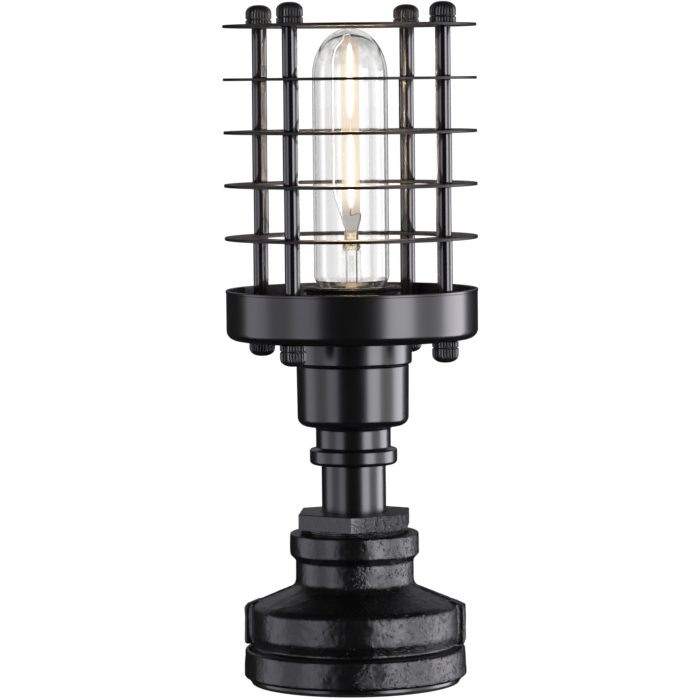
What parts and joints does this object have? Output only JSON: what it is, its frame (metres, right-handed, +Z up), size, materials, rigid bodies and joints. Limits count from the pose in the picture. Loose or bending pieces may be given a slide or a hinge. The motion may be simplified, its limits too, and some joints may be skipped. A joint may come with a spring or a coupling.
{
  "type": "table lamp",
  "caption": "Industrial table lamp of pipe fittings: cast reducer base, pipe stem, socket cup, pan and a cage of flat rings round a clear tubular bulb.",
  "frame": {"origin": "on the lamp's axis, on the table under the base pad", "axes": "+Z up along the lamp's axis; -Y is the front, with the cord inlet at the back on +Y"},
  "size_m": [0.1054, 0.1054, 0.2837],
  "materials": {
    "pad": "matt foam rubber",
    "plate_paint": "satin black paint",
    "casting_paint": "gloss black paint over rough casting",
    "satin_black": "smooth satin black powder coat",
    "gloss_black": "gloss black plating",
    "zinc_steel": "zinc plated",
    "rubber_black": "matt",
    "phenolic": "moulded, semi-gloss",
    "porcelain": "glazed ceramic",
    "brass": "bare",
    "solder": "dull solder",
    "cap_glass": "black glass",
    "cap_metal": "rolled nickel-plated sheet",
    "circuit_board": "matt board",
    "clear_glass": "clear",
    "wire": "drawn nickel wire",
    "phosphor": "glowing warm phosphor",
    "nylon": "moulded",
    "lead_jacket": "extruded"
  },
  "bodies": {
    "lamp": {"base_pad": "pad", "base_plate": "plate_paint", "plate_screws": "zinc_steel", "reducer_base": "casting_paint", "cord_grommet": "rubber_black", "hex_bushing": "casting_paint", "stem_pipe": "satin_black", "socket_cup": "satin_black", "cup_collar": "satin_black", "pan": "satin_black", "holder_nipple": "zinc_steel", "nipple_nuts": "zinc_steel", "holder_cap": "phenolic", "holder_insert": "porcelain", "terminal_screws": "brass", "centre_contact": "brass", "screw_shell": "brass", "holder_skirt": "phenolic", "shade_ring": "phenolic", "terminal_block": "nylon", "block_screws": "zinc_steel", "lead_right": "lead_jacket", "lead_left": "lead_jacket", "cage_ring_1": "gloss_black", "cage_ring_2": "gloss_black", "cage_ring_3": "gloss_black", "cage_ring_4": "gloss_black", "cage_ring_5": "gloss_black", "spacer_tubes_1": "gloss_black", "spacer_tubes_2": "gloss_black", "spacer_tubes_3": "gloss_black", "spacer_tubes_4": "gloss_black", "spacer_tubes_5": "gloss_black", "tie_rod_front_right": "zinc_steel", "tie_rod_rear_right": "zinc_steel", "tie_rod_rear_left": "zinc_steel", "tie_rod_front_left": "zinc_steel"},
    "tip": {"bulb_tip": "solder"},
    "bulb": {"bulb_insulator": "cap_glass", "bulb_cap": "cap_metal", "bulb_driver": "circuit_board", "bulb_glass": "clear_glass", "bulb_stem": "clear_glass", "support_wire": "wire", "lead_wire": "wire", "light_stick_upper": "phosphor", "light_stick_lower": "phosphor", "stick_link": "wire"},
    "top_nut_front_right": {"top_nut_front_right": "gloss_black"},
    "top_nut_rear_right": {"top_nut_rear_right": "gloss_black"},
    "top_nut_rear_left": {"top_nut_rear_left": "gloss_black"},
    "top_nut_front_left": {"top_nut_front_left": "gloss_black"},
    "bottom_nut_front_right": {"bottom_nut_front_right": "gloss_black"},
    "bottom_nut_rear_right": {"bottom_nut_rear_right": "gloss_black"},
    "bottom_nut_rear_left": {"bottom_nut_rear_left": "gloss_black"},
    "bottom_nut_front_left": {"bottom_nut_front_left": "gloss_black"}
  },
  "joints": [
    {"name": "bulb_lift", "type": "slide", "parent": "lamp", "child": "tip", "axis": [0, 0, 1], "range_m": [0, 0.01089]},
    {"name": "bulb_turn", "type": "hinge", "parent": "tip", "child": "bulb", "pos_m": [0, 0, 0.15], "axis": [0, 0, 1], "range_deg": [0, 1080]},
    {"name": "top_nut_front_right_turn", "type": "hinge", "parent": "lamp", "child": "top_nut_front_right", "pos_m": [0.03196, -0.03196, 0.2748], "axis": [0, 0, 1], "continuous": true},
    {"name": "bottom_nut_front_right_turn", "type": "hinge", "parent": "lamp", "child": "bottom_nut_front_right", "pos_m": [0.03196, -0.03196, 0.1442], "axis": [0, 0, -1], "continuous": true},
    {"name": "top_nut_rear_right_turn", "type": "hinge", "parent": "lamp", "child": "top_nut_rear_right", "pos_m": [0.03196, 0.03196, 0.2748], "axis": [0, 0, 1], "continuous": true},
    {"name": "bottom_nut_rear_right_turn", "type": "hinge", "parent": "lamp", "child": "bottom_nut_rear_right", "pos_m": [0.03196, 0.03196, 0.1442], "axis": [0, 0, -1], "continuous": true},
    {"name": "top_nut_rear_left_turn", "type": "hinge", "parent": "lamp", "child": "top_nut_rear_left", "pos_m": [-0.03196, 0.03196, 0.2748], "axis": [0, 0, 1], "continuous": true},
    {"name": "bottom_nut_rear_left_turn", "type": "hinge", "parent": "lamp", "child": "bottom_nut_rear_left", "pos_m": [-0.03196, 0.03196, 0.1442], "axis": [0, 0, -1], "continuous": true},
    {"name": "top_nut_front_left_turn", "type": "hinge", "parent": "lamp", "child": "top_nut_front_left", "pos_m": [-0.03196, -0.03196, 0.2748], "axis": [0, 0, 1], "continuous": true},
    {"name": "bottom_nut_front_left_turn", "type": "hinge", "parent": "lamp", "child": "bottom_nut_front_left", "pos_m": [-0.03196, -0.03196, 0.1442], "axis": [0, 0, -1], "continuous": true}
  ],
  "couplings": [
    {"joint": "bulb_turn", "follows": "bulb_lift", "rad_per_m": 1731.4}
  ]
}
